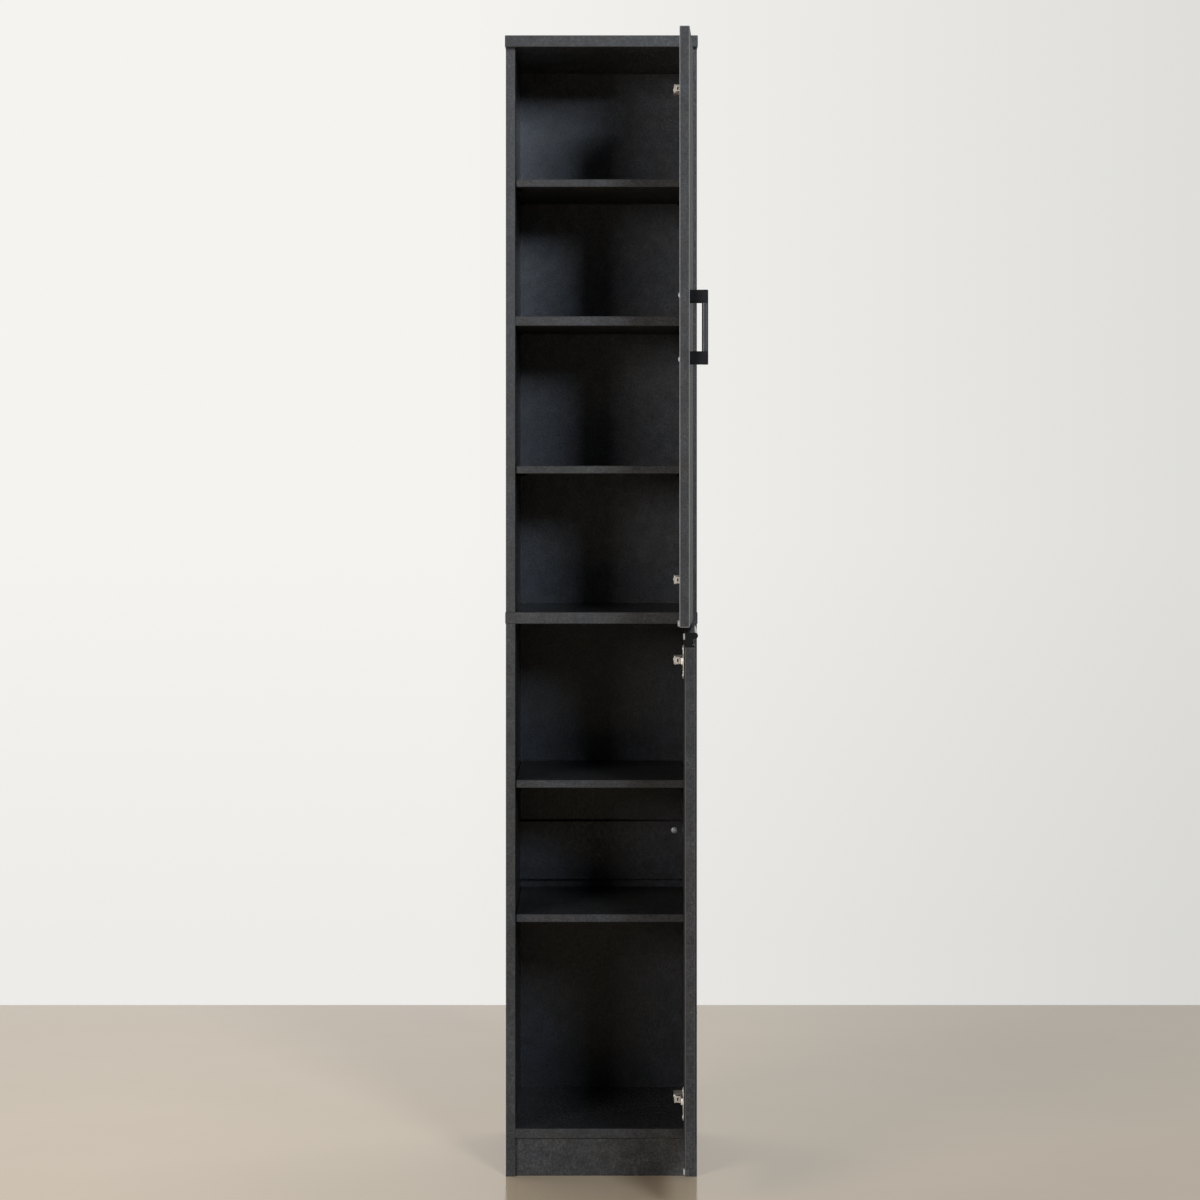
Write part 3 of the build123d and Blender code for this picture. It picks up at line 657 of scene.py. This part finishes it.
def islands(name):
    """Points of each separate solid of a node, always in the order of its mesh."""
    work = bmesh.new()
    work.from_mesh(nodes[name].data)
    bmesh.ops.remove_doubles(work, verts=work.verts, dist=merge_distance)
    work.verts.index_update()
    reached, found = set(), []
    for start in work.verts:
        patch = [] if start.index in reached else [start]
        reached.add(start.index)
        for point in patch:      # the list grows while it is walked through
            near = [edge.other_vert(point) for edge in point.link_edges]
            fresh = [other for other in near if other.index not in reached]
            reached.update(other.index for other in fresh)
            patch += fresh
        if patch:
            found.append(np.array([point.co for point in patch]))
    work.free()
    return found


def stem(points):
    """Foot and axis of a long solid, and where its points lie along the axis and how far from it."""
    centre = points.mean(0)
    axis = np.linalg.eigh(np.cov((points - centre).T))[1][:, -1]
    along = (points - centre) @ axis
    ends = [points[np.abs(along - end) < same_level].mean(0) for end in (along.min(), along.max())]
    axis = (ends[1] - ends[0]) / np.linalg.norm(ends[1] - ends[0])
    along = (points - ends[0]) @ axis
    away = np.linalg.norm(points - ends[0] - np.outer(along, axis), axis=1)
    return ends[0], axis, along, away


print(len(islands("top_dowels")), "solids in the node of the top dowels")

# %% Screws of the frame
def screw(points):
    """Seat, direction of the shank, and sizes of a headed screw."""
    foot, axis, along, away = stem(points)
    length, head_radius = along.max(), away.max()
    on_head = away > nearly_all * head_radius
    if along[on_head].mean() > length / 2:
        foot, axis, along = foot + axis * length, -axis, length - along
    head_height = along[on_head].max()
    shank_radius = away[along > nearly_all * length].max()
    return {"seat": foot + axis * head_height, "way": axis, "head_radius": head_radius,
            "head_height": head_height, "shank_radius": shank_radius, "shank_length": length - head_height}


screw_nodes = [name for name in nodes if name.endswith(("_screws", "_screw"))]
screws = {name: [screw(points) for points in islands(name)] for name in screw_nodes}
for name, found in screws.items():
    print(name, len(found), "heads of", round(2000 * found[0]["head_radius"], 2), "mm")

# %% [markdown]
# ## Screws
#
# A pan-head screw is a dome with a cross recess. Each could be a copy of one object, but an export drops
# copies. So one Geometry Nodes tree makes a head of unit size, by cutting a disc with a sphere and taking
# the cross out, and sets it and a shank on every point, scaled to that screw's own sizes. The tree ends in
# real geometry with its finish, so that one plain mesh is left for each body.

# %% Helpers for Geometry Nodes
def growing_tree(name, sizes):
    """Tree with geometry in and out, a finish, and a named number for each size."""
    tree = bpy.data.node_groups.new(name, "GeometryNodeTree")
    tree.interface.new_socket("Geometry", in_out="INPUT", socket_type="NodeSocketGeometry")
    tree.interface.new_socket("Finish", in_out="INPUT", socket_type="NodeSocketMaterial")
    for label, value in sizes.items():
        tree.interface.new_socket(label, in_out="INPUT", socket_type="NodeSocketFloat").default_value = value
    tree.interface.new_socket("Geometry", in_out="OUTPUT", socket_type="NodeSocketGeometry")
    return tree, tree.nodes.new("NodeGroupInput").outputs, tree.nodes.new("NodeGroupOutput")


def attribute(tree, name, kind="FLOAT"):
    """Value that each point carries under a name."""
    return add(tree, "GeometryNodeInputNamedAttribute", {"Name": name}, data_type=kind).outputs["Attribute"]


def vector(tree, x, y, z):
    """Vector from three values."""
    return add(tree, "ShaderNodeCombineXYZ", {0: x, 1: y, 2: z}).outputs[0]


def moved(tree, geometry, offset):
    """Shape shifted by a vector."""
    return add(tree, "GeometryNodeTransform", {"Geometry": geometry, "Translation": offset}).outputs[0]


def moved_points(tree, points, offset):
    """Points shifted by each one's own vector."""
    return add(tree, "GeometryNodeSetPosition", {"Geometry": points, "Offset": offset}).outputs[0]


def standing_rod(tree, sides):
    """Round rod of radius 1 and height 1 that stands on the origin."""
    rod = add(tree, "GeometryNodeMeshCylinder", {"Vertices": sides, "Radius": 1.0, "Depth": 1.0})
    return moved(tree, rod.outputs["Mesh"], (0.0, 0.0, 0.5))


def on_points(tree, points, shape, way, scale):
    """Copies of a shape on points, with its +Z along the way."""
    turn = add(tree, "FunctionNodeAlignRotationToVector", {"Vector": way}, axis="Z").outputs[0]
    return add(tree, "GeometryNodeInstanceOnPoints",
               {"Points": points, "Instance": shape, "Rotation": turn, "Scale": scale}).outputs[0]


print("tree helpers: growing_tree, attribute, vector, moved, moved_points, standing_rod, on_points")

# %% Helpers that end a tree
crease = 0.6                     # radians


def boolean(tree, operation, shapes, base=None, meets_itself=False):
    """Exact union, overlap or difference of closed meshes."""
    inputs = {1: shapes, "Self Intersection": meets_itself}
    if base is not None:
        inputs[0] = base
    return add(tree, "GeometryNodeMeshBoolean", inputs, operation=operation, solver="EXACT").outputs[0]


def realized(tree, shapes):
    """Real geometry in place of several sets of copies."""
    joined = add(tree, "GeometryNodeJoinGeometry", {0: shapes}).outputs[0]
    return add(tree, "GeometryNodeRealizeInstances", {"Geometry": joined}).outputs[0]


def end_tree(tree, shape, coat, out):
    """Shade smooth up to the crease angle, set the finish, and hand the shape out."""
    soft = add(tree, "GeometryNodeSetShadeSmooth", {"Geometry": shape, "Shade Smooth": True}, domain="FACE")
    angle = add(tree, "GeometryNodeInputMeshEdgeAngle").outputs["Unsigned Angle"]
    sharp = add(tree, "FunctionNodeCompare", {0: angle, 1: crease},
                data_type="FLOAT", operation="GREATER_THAN").outputs[0]
    creased = add(tree, "GeometryNodeSetShadeSmooth",
                  {"Geometry": soft.outputs[0], "Selection": sharp, "Shade Smooth": False}, domain="EDGE")
    dressed = add(tree, "GeometryNodeSetMaterial", {"Geometry": creased.outputs[0], "Material": coat})
    tree.links.new(dressed.outputs[0], out.inputs[0])


print("edges sharper than", round(math.degrees(crease)), "degrees stay sharp")

# %% Growing a fitting
def point_cloud(name, places):
    """Mesh of loose points that carries each fitting's numbers as attributes."""
    mesh = bpy.data.meshes.new(name)
    mesh.from_pydata([tuple(place["seat"]) for place in places], [], [])
    for key in places[0]:
        values = np.array([place[key] for place in places], np.float32)
        if key == "way":
            mesh.attributes.new(key, "FLOAT_VECTOR", "POINT").data.foreach_set("vector", values.ravel())
        elif key != "seat":
            mesh.attributes.new(key, "FLOAT", "POINT").data.foreach_set("value", values)
    return mesh


def grow(name, places, tree, material, body, slot, replaced, **own_sizes):
    """Run a tree on a fitting's places, keep one plain mesh, and let it stand for its CAD nodes."""
    piece = bpy.data.objects.new(name, point_cloud(name, places))
    scene.collection.objects.link(piece)
    modifier = piece.modifiers.new("grow", "NODES")
    modifier.node_group = tree
    own_inputs = {"Finish": material, **own_sizes}
    for item in tree.interface.items_tree:
        if item.in_out == "INPUT" and item.name in own_inputs:
            modifier[item.identifier] = own_inputs[item.name]
    mesh = plain_mesh(piece)
    mesh.materials.clear()       # drops the empty slot that the points leave before the tree's finish
    mesh.materials.append(material)
    mesh.polygons.foreach_set("material_index", np.zeros(len(mesh.polygons), np.int32))
    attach(piece, body)
    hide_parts(*replaced)
    print(name, "with", len(places), "copies,", len(mesh.polygons), "faces")


print("a screw's numbers:", ", ".join(screws["rail_screw"][0]))

# %% Screw head
head_sides, dome_rings = 40, 32
screw_tree, sizes, screw_out = growing_tree("screw_heads", {
    "Rim height": 0.42, "Recess reach": 0.62, "Recess width": 0.20, "Recess depth": 0.55, "Sunk share": 0.08})
drop = reckon(screw_tree, "SUBTRACT", 1.0, sizes["Rim height"])
dome_radius = reckon(screw_tree, "DIVIDE",
                     reckon(screw_tree, "ADD", 1.0, reckon(screw_tree, "MULTIPLY", drop, drop)),
                     reckon(screw_tree, "MULTIPLY", 2.0, drop))
ball = add(screw_tree, "GeometryNodeMeshUVSphere",
           {"Segments": head_sides, "Rings": dome_rings, "Radius": dome_radius}).outputs["Mesh"]
ball = moved(screw_tree, ball, vector(screw_tree, 0.0, 0.0, reckon(screw_tree, "SUBTRACT", 1.0, dome_radius)))
dome = boolean(screw_tree, "INTERSECT", [standing_rod(screw_tree, head_sides), ball])
recess_length = reckon(screw_tree, "MULTIPLY", 2.0, sizes["Recess reach"])
recess_z = reckon(screw_tree, "SUBTRACT", 1.5, sizes["Recess depth"])    # middle of bars that are 1 high
bars = [add(screw_tree, "GeometryNodeMeshCube", {"Size": vector(screw_tree, x, y, 1.0)}).outputs["Mesh"]
        for x, y in ((recess_length, sizes["Recess width"]), (sizes["Recess width"], recess_length))]
bars = [moved(screw_tree, bar, vector(screw_tree, 0.0, 0.0, recess_z)) for bar in bars]
head = boolean(screw_tree, "DIFFERENCE", bars, dome)
print("screw head with", head_sides, "sides and a cross of", len(bars), "bars")

# %% Heads and shanks on their places
shank_sides = 16
points = sizes["Geometry"]
way = attribute(screw_tree, "way", "FLOAT_VECTOR")
outward = scaled(screw_tree, way, -1.0)
head_radius, head_height = attribute(screw_tree, "head_radius"), attribute(screw_tree, "head_height")
head_size = vector(screw_tree, head_radius, head_radius, head_height)
heads = on_points(screw_tree, points, head, outward, head_size)
sunk = reckon(screw_tree, "MULTIPLY", head_height, sizes["Sunk share"])
shank_points = moved_points(screw_tree, points, scaled(screw_tree, outward, sunk))
shank_radius = attribute(screw_tree, "shank_radius")
shank_length = reckon(screw_tree, "ADD", attribute(screw_tree, "shank_length"), sunk)
shanks = on_points(screw_tree, shank_points, standing_rod(screw_tree, shank_sides), way,
                   vector(screw_tree, shank_radius, shank_radius, shank_length))
end_tree(screw_tree, realized(screw_tree, [heads, shanks]), sizes["Finish"], screw_out)

for body in bodies:
    mine = [name for name in screw_nodes if body_of[name] == body and name != "rail_screw"]
    places = [place for name in mine for place in screws[name]]
    grow(body + "_screws", places, screw_tree, zinc, body, "screw_steel", mine)
wide_recess = {"Recess width": 0.46, "Recess reach": 0.52, "Recess depth": 0.85}
grow("rail_screw_head", screws["rail_screw"], screw_tree, dull_zinc, "carcass", "screw_steel", ["rail_screw"],
     **wide_recess)

# %% [markdown]
# ## Shelf pins
#
# Each movable shelf lies on four black moulded pins that stick out of drilled holes. A pin has a collar
# against the side, which is flat on top where the shelf lies, and a tapered tip. Each part is a round thing
# of its own length, so a tree sets unit rods on the points, welds them, and takes the flat off with a
# block.

# %% Pins of the frame
def pin(points):
    """Place and sizes of a shelf pin: it starts in the side and points into the cabinet."""
    foot, axis, along, away = stem(points)
    length = along.max()
    if foot[0] * axis[0] > 0:
        foot, axis, along = foot + axis * length, -axis, length - along
    collar = along[away > nearly_all * away.max()]
    return {"seat": foot + axis * collar.min(), "way": axis, "stem_radius": away[along < same_level].max(),
            "in_side": collar.min(), "under_shelf": length - collar.min(),
            "collar_radius": away.max(), "collar_thickness": collar.max() - collar.min()}


pin_nodes = [name for name in nodes if name.endswith("_shelf_pins")]
pins = [pin(points) for name in pin_nodes for points in islands(name)]
print(len(pins), "pins of", round(2000 * pins[0]["stem_radius"], 2), "mm")

# %% Pin stems, collars and tips
pin_sides = 24
cutter_size = (4.0, 4.0, 2.0)    # in collar radii
pin_tree, sizes, pin_out = growing_tree("shelf_pins", {
    "Tip share": 0.12, "Tip radius": 0.72, "Flat above stem": 0.00002})
points = sizes["Geometry"]
way = attribute(pin_tree, "way", "FLOAT_VECTOR")
backward = scaled(pin_tree, way, -1.0)
rod = standing_rod(pin_tree, pin_sides)
stem_radius, collar_radius = attribute(pin_tree, "stem_radius"), attribute(pin_tree, "collar_radius")
under_shelf = attribute(pin_tree, "under_shelf")
tip_length = reckon(pin_tree, "MULTIPLY", under_shelf, sizes["Tip share"])
straight = reckon(pin_tree, "SUBTRACT", under_shelf, tip_length)
buried = on_points(pin_tree, points, rod, backward,
                   vector(pin_tree, stem_radius, stem_radius, attribute(pin_tree, "in_side")))
bearing = on_points(pin_tree, points, rod, way, vector(pin_tree, stem_radius, stem_radius, straight))
collars = on_points(pin_tree, points, rod, way,
                    vector(pin_tree, collar_radius, collar_radius, attribute(pin_tree, "collar_thickness")))
tip = add(pin_tree, "GeometryNodeMeshCone", {"Vertices": pin_sides, "Radius Top": sizes["Tip radius"],
                                             "Radius Bottom": 1.0, "Depth": 1.0}).outputs["Mesh"]
tips = on_points(pin_tree, moved_points(pin_tree, points, scaled(pin_tree, way, straight)), tip, way,
                 vector(pin_tree, stem_radius, stem_radius, tip_length))
whole = boolean(pin_tree, "UNION", realized(pin_tree, [buried, bearing, tips, collars]), meets_itself=True)

above = reckon(pin_tree, "ADD", reckon(pin_tree, "ADD", stem_radius, collar_radius), sizes["Flat above stem"])
cutter = add(pin_tree, "GeometryNodeMeshCube", {"Size": cutter_size}).outputs["Mesh"]
cutter_points = moved_points(pin_tree, points, vector(pin_tree, 0.0, 0.0, above))
cutters = add(pin_tree, "GeometryNodeInstanceOnPoints",
              {"Points": cutter_points, "Instance": cutter,
               "Scale": vector(pin_tree, collar_radius, collar_radius, collar_radius)}).outputs[0]
flat_topped = boolean(pin_tree, "DIFFERENCE", realized(pin_tree, [cutters]), whole)
end_tree(pin_tree, flat_topped, sizes["Finish"], pin_out)
grow("shelf_pins", pins, pin_tree, dull_black, "carcass", "pin_black", pin_nodes)

# %% [markdown]
# ## Dowels
#
# Every fixed joint hides fluted beech dowels, which show only when a board is taken off. Plain rods would
# do for that, but the flutes, which let the glue out, are what makes a dowel a dowel. A star drawn out
# along a line gives them, and one tree sets it on every dowel's place.

# %% Beech
beech_dark, beech_light = (0.52, 0.36, 0.22, 1.0), (0.66, 0.50, 0.34, 1.0)
beech_waves, beech_roughness, beech_depth = (260.0, 900.0, 260.0), 0.65, 0.00008

beech, tree, surface, place = shader("beech")
stretched = add(tree, "ShaderNodeMapping", {"Vector": place, "Scale": beech_waves}).outputs[0]
grain = noise(tree, stretched, 1.0)
tone = mix(tree, spread(tree, grain, 0.0, 1.0), beech_dark, beech_light)
tree.links.new(tone, surface.inputs["Base Color"])
surface.inputs["Roughness"].default_value = beech_roughness
bump(tree, surface, grain, beech_depth)
print("beech grain of", beech_waves, "waves to the metre")

# %% Fluted dowels
def dowel(points):
    """Place and sizes of a dowel."""
    foot, axis, along, away = stem(points)
    return {"seat": foot, "way": axis, "radius": away.max(), "length": along.max()}


flutes = 16
dowel_tree, sizes, dowel_out = growing_tree("fluted_dowels", {"Flute depth": 0.08})
root = reckon(dowel_tree, "SUBTRACT", 1.0, sizes["Flute depth"])
star = add(dowel_tree, "GeometryNodeCurveStar", {"Points": flutes, "Inner Radius": root, "Outer Radius": 1.0})
line = add(dowel_tree, "GeometryNodeCurvePrimitiveLine", {"Start": (0.0, 0.0, 0.0), "End": (0.0, 0.0, 1.0)})
fluted = add(dowel_tree, "GeometryNodeCurveToMesh",
             {"Curve": line.outputs[0], "Profile Curve": star.outputs["Curve"], "Fill Caps": True}).outputs[0]
radius = attribute(dowel_tree, "radius")
dowels = on_points(dowel_tree, sizes["Geometry"], fluted, attribute(dowel_tree, "way", "FLOAT_VECTOR"),
                   vector(dowel_tree, radius, radius, attribute(dowel_tree, "length")))
end_tree(dowel_tree, realized(dowel_tree, [dowels]), sizes["Finish"], dowel_out)

dowel_nodes = [name for name in nodes if name.endswith("_dowels")]
places = [dowel(points) for name in dowel_nodes for points in islands(name)]
grow("dowels", places, dowel_tree, beech, "carcass", "dowel_wood", dowel_nodes)

# %% [markdown]
# ## Bumpers and washer
#
# Small clear bumpers stop the doors softly, and the rail's screw sits in a turned cup washer. Their CAD
# solids already have the right form, so nothing is modelled again and they only get their finish. The
# bumper is soft, hazy plastic: it lets a little light through, and a noise makes it cloudy.

# %% Clear bumper and washer
haze_dark, haze_light = (0.42, 0.43, 0.42, 1.0), (0.60, 0.61, 0.60, 1.0)
haze_waves, haze_gloss = 400.0, (0.25, 0.40)
see_through, soft_ior = 0.35, 1.46

soft_clear, tree, surface, place = shader("soft_clear")
haze = noise(tree, place, haze_waves)
tree.links.new(mix(tree, haze, haze_dark, haze_light), surface.inputs["Base Color"])
tree.links.new(spread(tree, haze, *haze_gloss), surface.inputs["Roughness"])
surface.inputs["Transmission Weight"].default_value = see_through
surface.inputs["IOR"].default_value = soft_ior
finish(soft_clear, ["upper_bumper", "lower_bumpers"])
finish(dull_zinc, ["rail_washer"])
print("bumpers and washer finished")

# %% [markdown]
# ## Boxes of both models
#
# The box of the visual model is printed beside the box of the CAD model. The visual
# model has to fill the same box as the CAD model.

# %% Sizes
visual_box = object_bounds()
for label, box in (("cad box", cad_box), ("visual box", visual_box)):
    print(label, [[round(value, 4) for value in corner] for corner in box])
